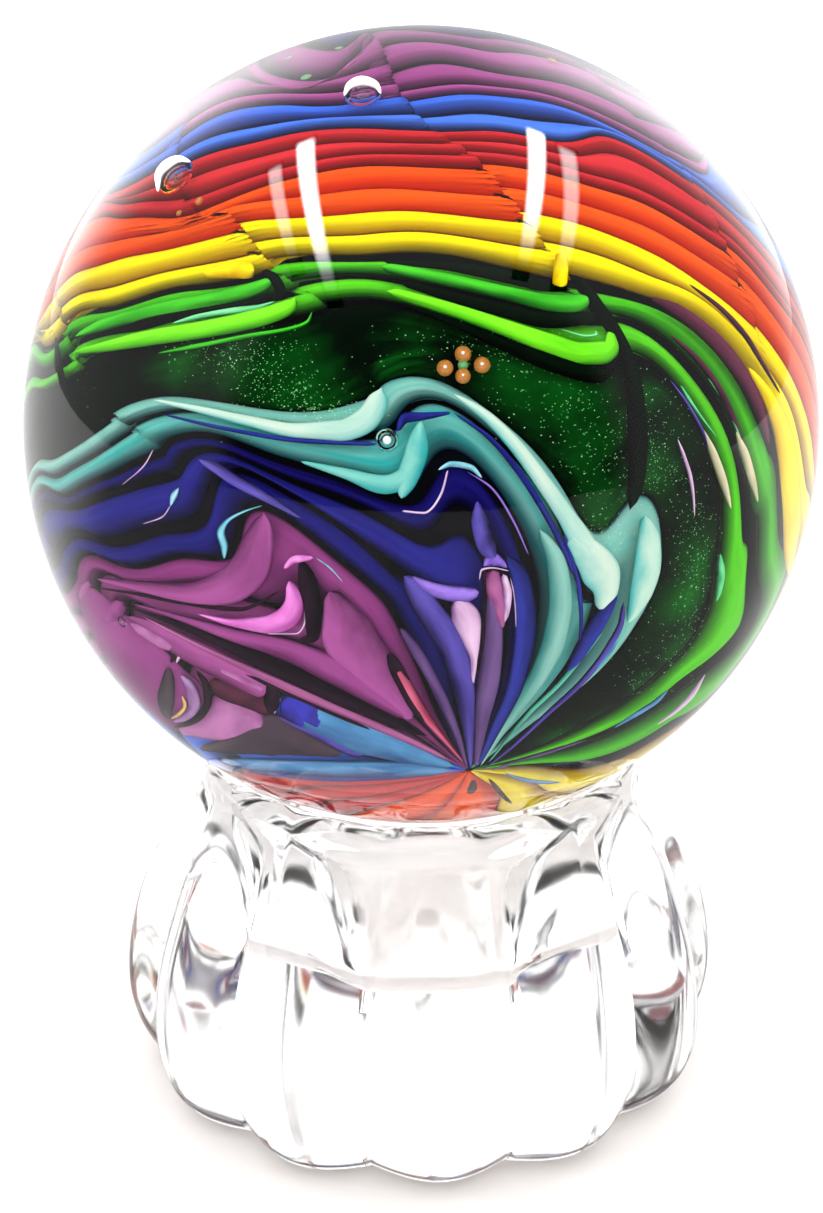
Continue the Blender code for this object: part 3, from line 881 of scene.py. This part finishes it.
# View, colour, whether the sides of its painted highlight and painted shade are swapped, then x, y and half
# width in that view's pixels
STROKES = (
    # Magenta leaves at the lower left
    (LOWER_LEFT, "soft_magenta", 0, ((230, 170, 24), (300, 270, 60), (400, 400, 90), (500, 520, 110),
        (620, 630, 108), (710, 690, 80), (780, 714, 36))),
    (LOWER_LEFT, "maroon", 0, ((740, 556, 16), (830, 604, 48), (920, 640, 52), (990, 664, 20))),
    (LOWER_LEFT, "dusk", 0, ((700, 818, 8), (850, 800, 40), (985, 764, 84), (1110, 800, 48),
        (1260, 838, 12))),
    (LOWER_LEFT, "lilac_lobe", 1, ((620, 742, 24), (710, 712, 72), (800, 694, 96), (890, 698, 78),
        (960, 722, 16))),
    (LOWER_LEFT, "magenta", 0, ((420, 300, 10), (520, 350, 30), (640, 420, 44), (760, 480, 50),
        (880, 545, 50), (950, 590, 40), (968, 605, 30))),
    (LOWER_LEFT, "lilac_lobe", 1, ((430, 322, 8), (490, 350, 32), (560, 390, 36), (606, 422, 18))),
    (LOWER_LEFT, "lilac_lobe", 1, ((735, 478, 6), (800, 508, 22), (880, 545, 30), (945, 578, 24),
        (966, 592, 12))),
    (LOWER_LEFT, "night", 0, ((585, 500, 4), (604, 452, 10), (634, 402, 5))),
    # A painted glint over the dark fold
    (LOWER_LEFT, "pale_pink", 0, ((612, 484, 3), (630, 450, 9), (650, 416, 4))),
    (LOWER_LEFT, "soft_magenta", 0, ((235, 240, 8), (255, 200, 26), (268, 160, 12))),
    (LOWER_LEFT, "soft_magenta", 0, ((320, 330, 10), (370, 285, 40), (400, 240, 20))),
    # Blue wedge under them
    (LOWER_LEFT, "night", 0, ((970, 556, 10), (990, 596, 34), (984, 640, 34), (984, 680, 14))),
    (LOWER_LEFT, "sky", 0, ((1060, 660, 30), (1150, 704, 58), (1280, 760, 64), (1420, 800, 56),
        (1568, 850, 36), (1700, 888, 10))),
    (LOWER_LEFT, "royal", 0, ((1022, 636, 24), (1060, 655, 50), (1110, 680, 58), (1160, 708, 52),
        (1184, 722, 34))),
    # A painted glint
    (LOWER_LEFT, "pale_pink", 0, ((1022, 618, 1.5), (1006, 658, 3.5), (996, 684, 2))),
    (LOWER_LEFT, "violet", 0, ((1000, 692, 4), (1100, 732, 12), (1200, 780, 18), (1300, 832, 16),
        (1345, 845, 5))),
    (LOWER_LEFT, "sky", 0, ((780, 868, 8), (900, 880, 22), (1100, 892, 28), (1300, 900, 32),
        (1500, 900, 30), (1690, 905, 8))),
    (LOWER_LEFT, "navy", 0, ((880, 905, 3), (1050, 925, 9), (1250, 938, 10), (1450, 932, 8),
        (1640, 920, 3))),
    # The two great magenta folds
    (LOWER_LEFT, "magenta", 1, ((300, 152, 6), (500, 186, 24), (680, 206, 46), (820, 180, 72),
        (900, 110, 78), (930, 20, 66), (950, -70, 34), (955, -110, 10))),
    (LOWER_LEFT, "magenta", 1, ((1215, 200, 24), (1245, 270, 62), (1290, 380, 106), (1370, 500, 104),
        (1460, 600, 68), (1540, 700, 20))),
    (LOWER_LEFT, "magenta", 0, ((440, 250, 3), (640, 310, 12), (840, 375, 26), (1040, 430, 40),
        (1240, 520, 54), (1400, 620, 40), (1530, 702, 14))),
    (LOWER_LEFT, "night", 1, ((1100, 80, 10), (1130, 180, 40), (1150, 290, 36), (1150, 380, 22),
        (1090, 395, 6))),
    (LOWER_LEFT, "bright_pink", 0, ((700, 292, 3), (840, 325, 16), (960, 332, 34), (1050, 300, 46),
        (1075, 240, 38), (1055, 160, 12))),
    (LOWER_LEFT, "bright_pink", 0, ((1035, 112, 8), (1080, 75, 16), (1150, 70, 6))),
    (LOWER_LEFT, "night", 0, ((250, 180, 3), (450, 210, 6), (640, 245, 9), (860, 272, 8), (1020, 200, 3))),
    (LOWER_LEFT, "night", 1, ((400, 252, 3), (600, 325, 10), (800, 408, 20), (1000, 498, 30),
        (1128, 556, 34), (1255, 616, 34), (1383, 672, 30), (1510, 732, 18), (1600, 770, 5))),
    (LOWER_LEFT, "glow_rose", 0, ((830, 424, 2), (890, 440, 8), (950, 462, 8), (1010, 486, 2))),
    (LOWER_LEFT, "rose", 0, ((480, 300, 3), (700, 415, 9), (881, 500, 13), (1128, 612, 17), (1383, 722, 16),
        (1540, 792, 13), (1680, 862, 6))),
    (LOWER_LEFT, "night", 0, ((540, 345, 2), (700, 436, 6), (820, 496, 8), (1000, 578, 9), (1270, 700, 8),
        (1560, 820, 5))),
    (LOWER_LEFT, "night", 0, ((1440, 440, 10), (1480, 520, 32), (1530, 620, 30), (1590, 715, 12))),
    (LOWER_LEFT, "glow_rose", 1, ((1462, 470, 8), (1490, 530, 24), (1535, 610, 26), (1590, 690, 18),
        (1680, 800, 8), (1740, 870, 3))),
    (LOWER_LEFT, "pale_pink", 0, ((1110, 230, 2), (1118, 310, 4), (1085, 365, 4), (970, 368, 2))),
    (LOWER_LEFT, "cyan", 0, ((1160, 70, 1), (1215, 110, 3), (1265, 165, 1))),
    # Indigo folds at the left, and painted glints on them
    (UPPER_LEFT, "violet", 1, ((700, 780, 6), (760, 810, 20), (840, 860, 24), (960, 930, 16),
        (1100, 1010, 5))),
    (UPPER_LEFT, "cyan", 0, ((622, 892, 3), (602, 925, 12), (590, 965, 3))),
    (UPPER_LEFT, "cyan", 0, ((950, 962, 2), (880, 985, 4), (805, 1030, 9), (786, 1070, 15), (800, 1130, 13),
        (800, 1172, 4))),
    (UPPER_LEFT, "pale_pink", 0, ((522, 742, 1), (490, 800, 3), (400, 882, 1))),
    (UPPER_LEFT, "pale_pink", 0, ((590, 962, 1), (560, 1005, 3), (480, 1035, 1))),
    # Turquoise ribbons
    (UPPER_LEFT, "pale_aqua", 0, ((520, 548, 6), (700, 585, 14), (900, 632, 22), (1100, 668, 30),
        (1250, 668, 42), (1350, 630, 50), (1400, 560, 44), (1418, 500, 20))),
    (UPPER_LEFT, "navy", 0, ((560, 605, 4), (800, 660, 8), (1100, 708, 9), (1400, 722, 8))),
    (UPPER_LEFT, "light_aqua", 0, ((1100, 790, 5), (1280, 838, 22), (1430, 880, 38), (1510, 850, 40),
        (1545, 770, 30), (1550, 690, 12))),
    (UPPER_RIGHT, "light_aqua", 0, ((5, 890, 10), (25, 820, 40), (60, 720, 44), (72, 640, 26),
        (80, 600, 8))),
    (UPPER_RIGHT, "navy", 0, ((-10, 640, 6), (20, 590, 20), (100, 582, 14), (190, 570, 5))),
    (UPPER_RIGHT, "pale_aqua", 0, ((200, 500, 6), (320, 580, 20), (420, 680, 26), (520, 810, 30),
        (610, 940, 34), (680, 1050, 44), (720, 1110, 40))),
    (LOWER_RIGHT, "pale_aqua", 0, ((630, -10, 24), (700, 50, 60), (748, 120, 74), (765, 190, 50),
        (745, 262, 14))),
    (LOWER_RIGHT, "pale_aqua", 0, ((915, -90, 14), (930, 0, 42), (925, 90, 50), (905, 180, 44),
        (875, 260, 24), (850, 310, 6))),
    (LOWER_RIGHT, "sage", 0, ((520, -40, 14), (585, 90, 38), (600, 220, 44), (580, 360, 44), (525, 490, 34),
        (440, 620, 24), (360, 740, 14), (300, 845, 4))),
    (UPPER_RIGHT, "navy", 0, ((200, 570, 3), (330, 660, 9), (450, 800, 12), (550, 960, 12), (620, 1100, 10),
        (650, 1180, 6))),
    (LOWER_RIGHT, "navy", 0, ((612, -20, 6), (642, 80, 9), (668, 180, 9), (677, 300, 7), (668, 400, 3))),
    (LOWER_RIGHT, "navy", 0, ((812, 205, 6), (765, 270, 24), (715, 350, 28), (665, 430, 22),
        (620, 505, 4))),
    (LOWER_RIGHT, "violet", 0, ((835, 230, 5), (828, 300, 10), (780, 400, 11), (680, 530, 10),
        (560, 640, 8), (420, 770, 6), (310, 858, 2))),
    (LOWER_RIGHT, "cyan", 0, ((652, 135, 2), (668, 200, 5), (678, 280, 3))),
    # A painted highlight in blue
    (LOWER_RIGHT, "sky", 0, ((818, 345, 2), (792, 400, 10), (752, 452, 9), (690, 525, 3))),
    (LOWER_RIGHT, "teal", 0, ((760, 340, 2), (700, 410, 8), (600, 530, 9), (480, 650, 7), (330, 830, 3))),
    # Facets over the pole, and painted glints on them
    (LOWER_RIGHT, "bright_violet", 0, ((40, 140, 8), (140, 190, 26), (235, 205, 30), (295, 195, 12))),
    (LOWER_RIGHT, "pale_pink", 0, ((205, 220, 20), (245, 290, 54), (268, 380, 36), (276, 450, 15),
        (268, 520, 11), (262, 610, 7), (264, 720, 2))),
    (LOWER_RIGHT, "violet", 0, ((15, 134, 22), (90, 240, 48), (187, 388, 52), (239, 560, 41),
        (256, 710, 22), (264, 850, 6))),
    (LOWER_RIGHT, "night", 0, ((312, 110, 8), (322, 240, 14), (312, 360, 16), (292, 460, 10),
        (285, 500, 3))),
    (LOWER_RIGHT, "plum", 0, ((335, 180, 10), (345, 320, 38), (335, 490, 42), (305, 680, 26),
        (280, 850, 7))),
    (LOWER_RIGHT, "navy", 1, ((400, 60, 14), (450, 140, 34), (470, 310, 38), (435, 530, 30), (345, 730, 18),
        (290, 845, 6))),
    (LOWER_RIGHT, "rose", 0, ((345, 112, 22), (352, 190, 34), (368, 270, 26), (382, 330, 8))),
    (LOWER_RIGHT, "pale_pink", 0, ((385, 128, 12), (400, 200, 18), (394, 270, 15), (380, 318, 4))),
    (LOWER_RIGHT, "bright_violet", 0, ((312, 98, 4), (345, 72, 26), (375, 84, 16), (400, 104, 4))),
    (LOWER_RIGHT, "pale_pink", 0, ((296, 150, 1), (305, 112, 4), (345, 104, 3), (408, 116, 2))),
    (LOWER_RIGHT, "pale_pink", 0, ((412, 140, 1), (430, 230, 4), (434, 330, 2))),
    (LOWER_RIGHT, "plum", 0, ((0, 330, 10), (70, 430, 22), (140, 560, 22), (210, 720, 16), (250, 850, 5))),
    (UPPER_RIGHT, "violet", 1, ((290, 900, 8), (300, 980, 34), (320, 1060, 36), (350, 1120, 16))),
    (WHOLE, "cyan", 0, ((438, 470, 1), (452, 464, 3), (470, 467, 3), (482, 478, 1))),
    (WHOLE, "pale_pink", 0, ((402, 511, 1), (424, 513, 1.2), (441, 494, 1.2), (448, 470, 1))),
    (UPPER_RIGHT, "bright_violet", 0, ((250, 790, 1), (340, 850, 4), (420, 970, 4), (480, 1100, 2))),
    # Green canes that turn back at the two folds
    (UPPER_LEFT, "black_glass", 0, ((300, 260, 6), (500, 225, 12), (700, 200, 14), (900, 165, 12),
        (1000, 130, 5))),
    (UPPER_LEFT, "black_glass", 0, ((950, 40, 12), (1000, 78, 22), (1020, 120, 22), (990, 155, 6))),
    (UPPER_LEFT, "green", 0, ((215, 300, 8), (350, 245, 24), (500, 205, 26), (700, 165, 28), (860, 130, 28),
        (960, 95, 22), (1000, 72, 8))),
    (UPPER_LEFT, "mint", 0, ((600, 248, 4), (700, 222, 11), (820, 200, 13), (930, 185, 9),
        (1000, 163, 3))),
    (UPPER_LEFT, "lime", 0, ((215, 362, 10), (350, 336, 22), (500, 306, 30), (700, 275, 34), (880, 240, 36),
        (1015, 200, 34), (1072, 165, 20), (1080, 142, 6))),
    (UPPER_LEFT, "green", 0, ((540, 366, 3), (700, 336, 9), (900, 297, 9), (1060, 269, 8), (1130, 240, 7),
        (1146, 200, 3))),
    (UPPER_LEFT, "yellow", 0, ((720, 55, 18), (810, 42, 30), (880, 38, 36), (918, 40, 24))),
    (UPPER_LEFT, "black_glass", 0, ((140, 300, 4), (150, 400, 12), (180, 520, 12), (245, 690, 5))),
    (UPPER_RIGHT, "black_glass", 0, ((-60, 6, 8), (150, 20, 14), (300, 42, 20), (450, 72, 24),
        (560, 102, 16), (640, 112, 4))),
    (UPPER_RIGHT, "black_glass", 0, ((0, 84, 10), (200, 140, 18), (400, 190, 26), (560, 225, 30),
        (700, 215, 24), (740, 200, 8))),
    (UPPER_RIGHT, "black_glass", 0, ((0, 160, 6), (200, 235, 14), (400, 320, 24), (600, 395, 34),
        (740, 430, 30), (800, 420, 10))),
    (UPPER_RIGHT, "green", 0, ((-70, 26, 16), (0, 38, 20), (200, 78, 24), (400, 124, 26), (560, 158, 32),
        (640, 164, 36), (690, 148, 28), (704, 122, 12))),
    (UPPER_RIGHT, "teal", 1, ((400, 182, 4), (500, 212, 11), (600, 222, 15), (655, 234, 8))),
    (UPPER_RIGHT, "lime", 0, ((-50, 116, 14), (0, 128, 18), (200, 188, 26), (400, 256, 32), (560, 312, 38),
        (680, 348, 42), (755, 345, 44), (792, 312, 32), (786, 270, 16), (768, 250, 5))),
    (UPPER_RIGHT, "mint", 0, ((600, 258, 2), (700, 284, 5), (735, 276, 6), (728, 262, 2))),
    (UPPER_RIGHT, "teal", 0, ((380, 322, 2), (480, 362, 10), (600, 392, 12), (700, 402, 8),
        (775, 410, 2))),
    (UPPER_RIGHT, "black_glass", 0, ((628, 52, 8), (680, 94, 22), (740, 180, 26), (802, 265, 24),
        (850, 370, 26), (878, 500, 32), (888, 650, 38), (886, 780, 34), (872, 880, 22), (858, 935, 6))),
    (UPPER_RIGHT, "yellow", 0, ((604, -30, 20), (600, 40, 28), (597, 84, 28), (596, 104, 18))),
    # Slivers between the green canes at the right
    (UPPER_RIGHT, "yellow", 0, ((1300, 400, 8), (1380, 520, 24), (1432, 660, 32), (1456, 820, 36),
        (1464, 960, 34), (1455, 1100, 20), (1450, 1180, 6))),
    (UPPER_RIGHT, "maroon", 0, ((930, 140, 6), (1020, 180, 20), (1120, 250, 26), (1220, 350, 28),
        (1300, 470, 26), (1350, 580, 18), (1378, 690, 5))),
    (UPPER_RIGHT, "maroon", 0, ((1080, 90, 3), (1200, 182, 8), (1290, 282, 9), (1350, 380, 7),
        (1420, 500, 3))),
    (UPPER_RIGHT, "maroon", 0, ((1010, 280, 3), (1100, 360, 10), (1190, 480, 12), (1250, 600, 8),
        (1275, 660, 3))),
    (UPPER_RIGHT, "mint", 0, ((1150, 440, 2), (1230, 560, 6), (1275, 680, 2))),
    (UPPER_RIGHT, "cream", 0, ((1255, 640, 3), (1290, 730, 15), (1316, 820, 13), (1336, 905, 3))),
    (UPPER_RIGHT, "cream", 0, ((1130, 630, 3), (1170, 720, 13), (1202, 810, 15), (1226, 890, 8),
        (1236, 930, 2))),
    (UPPER_RIGHT, "mint", 0, ((1046, 466, 3), (1080, 520, 6), (1120, 580, 5), (1182, 662, 2))),
    (UPPER_RIGHT, "violet", 0, ((1010, 450, 2), (1075, 540, 6), (1130, 640, 6), (1180, 770, 2))),
    # A painted glint along a cane's edge
    (UPPER_RIGHT, "pale_pink", 0, ((1036, 668, 2), (1060, 730, 6), (1086, 815, 6), (1097, 900, 4),
        (1100, 960, 1))),
    (LOWER_RIGHT, "sky", 0, ((1000, 560, 2), (960, 600, 8), (900, 640, 8), (800, 700, 3))),
    (LOWER_RIGHT, "pale_pink", 0, ((1140, 500, 2), (1090, 580, 9), (1040, 630, 8), (960, 690, 2))),
    (LOWER_RIGHT, "mint", 0, ((1195, 50, 3), (1200, 120, 14), (1190, 190, 12), (1180, 230, 3))),
    (LOWER_RIGHT, "plum", 0, ((700, 745, 2), (560, 790, 6), (420, 830, 5), (340, 862, 2))),
    (LOWER_RIGHT, "sky", 0, ((390, 870, 2), (460, 895, 7), (540, 905, 7), (600, 905, 2))),
    (LOWER_RIGHT, "night", 0, ((275, 895, 6), (272, 925, 16), (250, 945, 8))),
    (LOWER_RIGHT, "night", 0, ((330, 890, 3), (360, 925, 9), (395, 965, 8), (420, 985, 2))),
    # A small bubble drawn out in the magenta glass at the lower left, with a dark rim; its lilac curve and
    # amber arc are painted highlights
    (LOWER_LEFT, "night", 0, ((690, 510, 4), (728, 570, 13), (736, 630, 16), (706, 690, 15), (650, 722, 10),
        (600, 734, 4))),
    (LOWER_LEFT, "dusk", 0, ((580, 500, 8), (578, 560, 26), (572, 620, 34), (575, 670, 24),
        (590, 704, 8))),
    (LOWER_LEFT, "lilac", 0, ((630, 530, 6), (672, 590, 22), (684, 645, 24), (650, 692, 18),
        (600, 712, 5))),
    (LOWER_LEFT, "amber", 0, ((634, 610, 3), (646, 648, 8), (622, 684, 8), (588, 700, 3))),
    # Painted highlights where light catches over the two great bubbles
    (WHOLE, "white", 0, ((344, 96, 1), (349, 86, 3), (362, 81, 4), (376, 85, 3), (381, 94, 1))),
    (WHOLE, "white", 0, ((158, 192, 1), (158, 178, 3), (167, 165, 4), (180, 159, 3), (191, 162, 1))),
)
STROKE_REACHES = {"white": 0.98}  # radii from the ball's centre, for colours that lie higher than the rest
STROKE_REACH = 0.914
STROKE_LIFT = 0.000008  # each fold lies this much over the one before it
STROKE_RIDGE = 0.0004
STROKE_RIDGE_SHARE = 0.35  # of a fold's width, where it is narrow
STROKE_THICKNESS = 0.0006
STROKE_ENDS = 1 / 24  # share of a fold's length over which each end tapers
# How much the painted light and shade on the folds wanders in pools
FOLD_PAINTED_POOLING = 1.4
STROKE_TOP_POINTS = 11
STROKE_UNDER_POINTS = 3
STROKE_STEP_PX = 2.5


def through(points, spacing):
    """A smooth run of points through the given ones, about the spacing apart in their first two values."""
    points = np.array(points, float)
    legs = np.hypot(*np.diff(points[:, :2], axis=0).T)
    reach = np.concatenate([[0], np.cumsum(legs)])
    at = np.linspace(0, reach[-1], max(8, int(reach[-1] / spacing)))
    return np.stack([smooth_curve(list(zip(reach, column)))(at) for column in points.T], axis=-1)


def stroke_mesh(view, points, flipped, radius):
    left, top, scale = view
    points = [(left + x / scale, top + y / scale, half / scale) for x, y, half in points]
    line = through(points, STROKE_STEP_PX)
    ahead = np.gradient(line[:, :2], axis=0)
    ahead /= np.linalg.norm(ahead, axis=1, keepdims=True)
    aside = np.stack([-ahead[:, 1], ahead[:, 0]], axis=1)
    share = np.concatenate([-np.cos(np.linspace(0, math.pi, STROKE_TOP_POINTS)),
                            np.linspace(0.8, -0.8, STROKE_UNDER_POINTS)])
    ends = np.sin(math.pi / 2 * np.clip(np.linspace(0, 1, len(line)) / STROKE_ENDS, 0, 1))
    ends *= ends[::-1]
    half = (line[:, 2] * ends)[:, None]
    x = line[:, :1] + aside[:, :1] * half * share
    y = line[:, 1:2] + aside[:, 1:2] * half * share
    units = seen_at(x, y, radius) / radius
    top = np.arange(len(share)) < STROKE_TOP_POINTS
    width = 2 * half * PIXEL
    ridge = np.minimum(STROKE_RIDGE, STROKE_RIDGE_SHARE * width)
    lift = np.where(top, np.sqrt(np.maximum(1 - share**2, 0)), 0.0) * ridge
    sink = np.where(top, 0.0, 1.0) * np.minimum(STROKE_THICKNESS, MOST_THICKNESS_SHARE * width)
    vertices = (BALL_CENTRE + units * (radius + lift - sink)[..., None]).reshape(-1, 3)
    across = np.broadcast_to((share + 1) / 2, half.shape[:1] + share.shape)
    along = np.broadcast_to(np.linspace(0, 1, len(line))[:, None], across.shape)
    across = 1 - across if flipped else across
    return vertices, ring_faces(len(line), len(share)), across.ravel(), along.ravel()


def joined_piece(name, parts, material):
    """One piece from several closed meshes, each with its across, along and tone values."""
    offset, faces = 0, []
    for vertices, quads, *_ in parts:
        faces.extend(tuple(corner + offset for corner in quad) for quad in quads)
        offset += len(vertices)
    piece = add_piece(name, np.concatenate([part[0] for part in parts]), faces, material)
    tones = [np.full(len(part[0]), part[4]) for part in parts]
    set_values(piece, {"across": np.concatenate([part[2] for part in parts]),
                       "along": np.concatenate([part[3] for part in parts]), "tone": np.concatenate(tones)})
    return sealed(piece)


def fold_material(name, shades):
    return cane_material(name, *shades, STROKE_SHADING, STROKE_STREAKS, FOLD_PAINTED_POOLING)


def build_strokes():
    for colour, shades in STROKE_COLOURS.items():
        parts = []
        for number, (view, name, flipped, points) in enumerate(STROKES):
            if name == colour:
                radius = BALL_RADIUS * STROKE_REACHES.get(name, STROKE_REACH) + STROKE_LIFT * number
                parts.append((*stroke_mesh(view, points, flipped, radius), 0.3 + 0.1 * (number % 5)))
        if parts:
            joined_piece(f"{colour}_folds", parts, fold_material(f"{colour}_fold_glass", shades))


def build_core():
    bm = bmesh.new()
    bmesh.ops.create_icosphere(bm, subdivisions=5, radius=CORE_RADIUS)
    bmesh.ops.translate(bm, verts=bm.verts, vec=Vector(BALL_CENTRE))
    material = speckled_material("dark_core_glass", (2, 3, 8), (10, 12, 26), 160.0, (0.0, 1.0), specular=0.0)
    sealed(piece_from(bm, "dark_core", material))


# Surroundings

FLOOR_REACH = 1.0
FLOOR_GAP = 0.00005
FLOOR_ROUGHNESS = 0.9

# The tent's open front, as slopes from the ball: half its width, its sill and its head
OPENING_HALF_WIDTH = 1.5
OPENING_SILL = -0.39
OPENING_HEAD = 1.35
TENT_STRENGTH = 0.40
OPENING_STRENGTH = 0.04
BACK_WALL_STRENGTH = 2.6
BACK_WALL_MIDDLE = 0.15  # share of that straight behind the ball
BACK_WALL_MIDDLE_ENDS = (0.05, 0.4)
BACK_WALL_STARTS, BACK_WALL_FULL = 0.56, 1.0
BACKDROP_STRENGTH = 1.6
SOFT_STRENGTH = 1.3  # what lights matt surfaces from every side
ROOF_STRENGTH = 2.3  # what the roof adds to that
ROOF_STARTS, ROOF_FULL = 0.1, 0.9
FLOOR_COLOUR = (0.58, 0.56, 0.55)
# The floor seen through the glass is a lighter copy with a painted glow, standing in for the light that
# reaches under the stand
THROUGH_FLOOR_COLOUR = (0.90, 0.89, 0.885)
THROUGH_FLOOR_GLOW = 0.15
# The floor the ball mirrors has painted shade, darker towards the front
MIRRORED_FLOOR_FRONT, MIRRORED_FLOOR_BACK = (0.30, 0.295, 0.29), (0.95, 0.95, 0.95)
MIRRORED_FLOOR_TURNS = (0.0, 0.10)

# Lamp bars under the tent's roof: back end, front end, width and strength
LAMP_HEIGHT = 0.50
LAMP_BARS = {
    "left_lamp": ((-0.212, 0.185), (-0.250, -0.400), 0.050, 34.0),
    "left_lamp_glow": ((-0.289, 0.140), (-0.321, -0.250), 0.046, 9.0),
    "right_lamp": ((0.207, 0.225), (0.256, -0.290), 0.050, 34.0),
    "right_lamp_glow": ((0.278, 0.210), (0.385, -0.290), 0.058, 9.0),
}
LAMP_EDGE = 0.3  # share of a bar's width over which its light fades in
LAMP_START = 0.06  # share of its length over which it does at the back
LAMP_FADE_STARTS = 0.45  # share of its length after which it dims towards the front


def floor_plane(name, colour, gaps):
    """A level square some gaps below the stand, with its graph and its shader."""
    material, graph, shader = new_material(name, FLOOR_ROUGHNESS, specular=0.0)
    shader.inputs["Base Color"].default_value = (*colour, 1)
    height = STAND_LOW[2] - FLOOR_GAP * gaps
    corners = [(x * FLOOR_REACH, y * FLOOR_REACH, height) for x, y in ((-1, -1), (1, -1), (1, 1), (-1, 1))]
    floor = add_piece(name, corners, [(0, 1, 2, 3)], material)
    return floor, graph, shader


def build_floor():
    """A pale floor, with others in its place: a lighter one with a painted glow for what is seen through the
    glass, and one with painted shade towards the front for what mirrors it.
    """
    seen, _, _ = floor_plane("floor", FLOOR_COLOUR, 1)
    hide_from(seen, "glossy", "diffuse", "transmission", "shadow")
    through, _, shader = floor_plane("floor_through_glass", THROUGH_FLOOR_COLOUR, 2)
    shader.inputs["Emission Color"].default_value = (1, 1, 1, 1)
    shader.inputs["Emission Strength"].default_value = THROUGH_FLOOR_GLOW
    hide_from(through, "glossy", "camera")
    mirrored, graph, shader = floor_plane("mirrored_floor", MIRRORED_FLOOR_FRONT, 4)
    parts = graph.nodes.new("ShaderNodeSeparateXYZ")
    graph.links.new(graph.nodes.new("ShaderNodeNewGeometry").outputs["Position"], parts.inputs["Vector"])
    colour = graph.blend_colours(graph.step(parts.outputs["Y"], *MIRRORED_FLOOR_TURNS),
                                 MIRRORED_FLOOR_FRONT, MIRRORED_FLOOR_BACK)
    graph.links.new(colour, shader.inputs["Base Color"])
    hide_from(mirrored, "camera", "diffuse", "transmission", "shadow")


def build_world():
    """A white tent, dark only where its front stands open; the backdrop behind the ball is plain white."""
    world = bpy.data.worlds.new("white_tent")
    world.use_nodes = True
    graph = Graph(world.node_tree)
    background = graph.nodes["Background"]
    background.inputs["Color"].default_value = (1, 1, 1, 1)
    parts = graph.nodes.new("ShaderNodeSeparateXYZ")
    graph.links.new(graph.nodes.new("ShaderNodeTexCoord").outputs["Generated"], parts.inputs["Vector"])
    x, y, z = parts.outputs
    forward = graph.math("MAXIMUM", graph.math("MULTIPLY", y, -1.0), 0.0001)
    aside = graph.math("ABSOLUTE", graph.math("DIVIDE", x, forward))
    upward = graph.math("DIVIDE", z, forward)
    outside = graph.step(aside, OPENING_HALF_WIDTH * 0.8, OPENING_HALF_WIDTH * 1.2)
    over_head = graph.step(upward, OPENING_HEAD * 0.7, OPENING_HEAD * 1.6)
    opening = graph.product(graph.math("SUBTRACT", 1.0, outside), graph.math("SUBTRACT", 1.0, over_head),
                            graph.step(upward, OPENING_SILL - 0.02, OPENING_SILL + 0.02))
    dimming = graph.product(opening, TENT_STRENGTH - OPENING_STRENGTH)
    off_middle = graph.step(graph.math("ABSOLUTE", x), *BACK_WALL_MIDDLE_ENDS)
    back_wall = graph.product(BACK_WALL_STRENGTH, graph.step(y, BACK_WALL_STARTS, BACK_WALL_FULL),
                              graph.blend(off_middle, BACK_WALL_MIDDLE, 1.0))
    around = graph.math("ADD", graph.math("SUBTRACT", TENT_STRENGTH, dimming), back_wall)
    roof = graph.product(ROOF_STRENGTH, graph.step(z, ROOF_STARTS, ROOF_FULL))
    soft = graph.math("ADD", roof, SOFT_STRENGTH)
    path = graph.nodes.new("ShaderNodeLightPath")
    matt = graph.math("GREATER_THAN", path.outputs["Diffuse Depth"], 0.5)
    first = graph.math("LESS_THAN", path.outputs["Ray Depth"], 2.5)
    mirrored = graph.product(path.outputs["Is Glossy Ray"], first)
    lit = graph.blend(mirrored, BACKDROP_STRENGTH, around)
    graph.links.new(graph.blend(matt, lit, soft), background.inputs["Strength"])
    bpy.context.scene.world = world
    bpy.context.scene.view_settings.view_transform = "Standard"


def lamp_material(name, strength):
    """Light that fades in across a bar's width and dims towards its front end."""
    material = bpy.data.materials.new(name)
    material.use_nodes = True
    graph = Graph(material.node_tree)
    graph.nodes.remove(graph.nodes["Principled BSDF"])
    side, reach = graph.attribute("side"), graph.attribute("reach")
    ending = graph.step(reach, 1.0, LAMP_FADE_STARTS)
    light = graph.product(graph.step(side, 0.0, LAMP_EDGE), graph.step(side, 1.0, 1.0 - LAMP_EDGE),
                          graph.step(reach, 0.0, LAMP_START), ending, ending, strength)
    glow = graph.nodes.new("ShaderNodeEmission")
    graph.links.new(light, glow.inputs["Strength"])
    graph.links.new(glow.outputs["Emission"], graph.nodes["Material Output"].inputs["Surface"])
    return material


def build_lamps():
    """Bright bars that show only as reflections on the glass."""
    height = BALL_CENTRE[2] + LAMP_HEIGHT
    for name, (start, end, width, strength) in LAMP_BARS.items():
        start, end = Vector(start), Vector(end)
        aside = (end - start).orthogonal().normalized() * width / 2
        corners = [(*corner, height) for corner in (start - aside, start + aside, end + aside, end - aside)]
        bar = add_piece(name, corners, [(0, 1, 2, 3)], lamp_material(name, strength))
        set_values(bar, {"side": (0, 1, 1, 0), "reach": (0, 0, 1, 1)})
        hide_from(bar, "camera", "diffuse", "transmission", "shadow")


make_camera()
build_world()
build_lamps()
build_floor()
build_ball(glass_material("clear_ball_glass", (1.0, 1.0, 1.0), 0.0))
build_stand(glass_material("clear_stand_glass", (0.995, 0.99, 0.985), 0.08))
build_core()
build_canes()
build_strokes()
build_glitter()
build_inclusions()
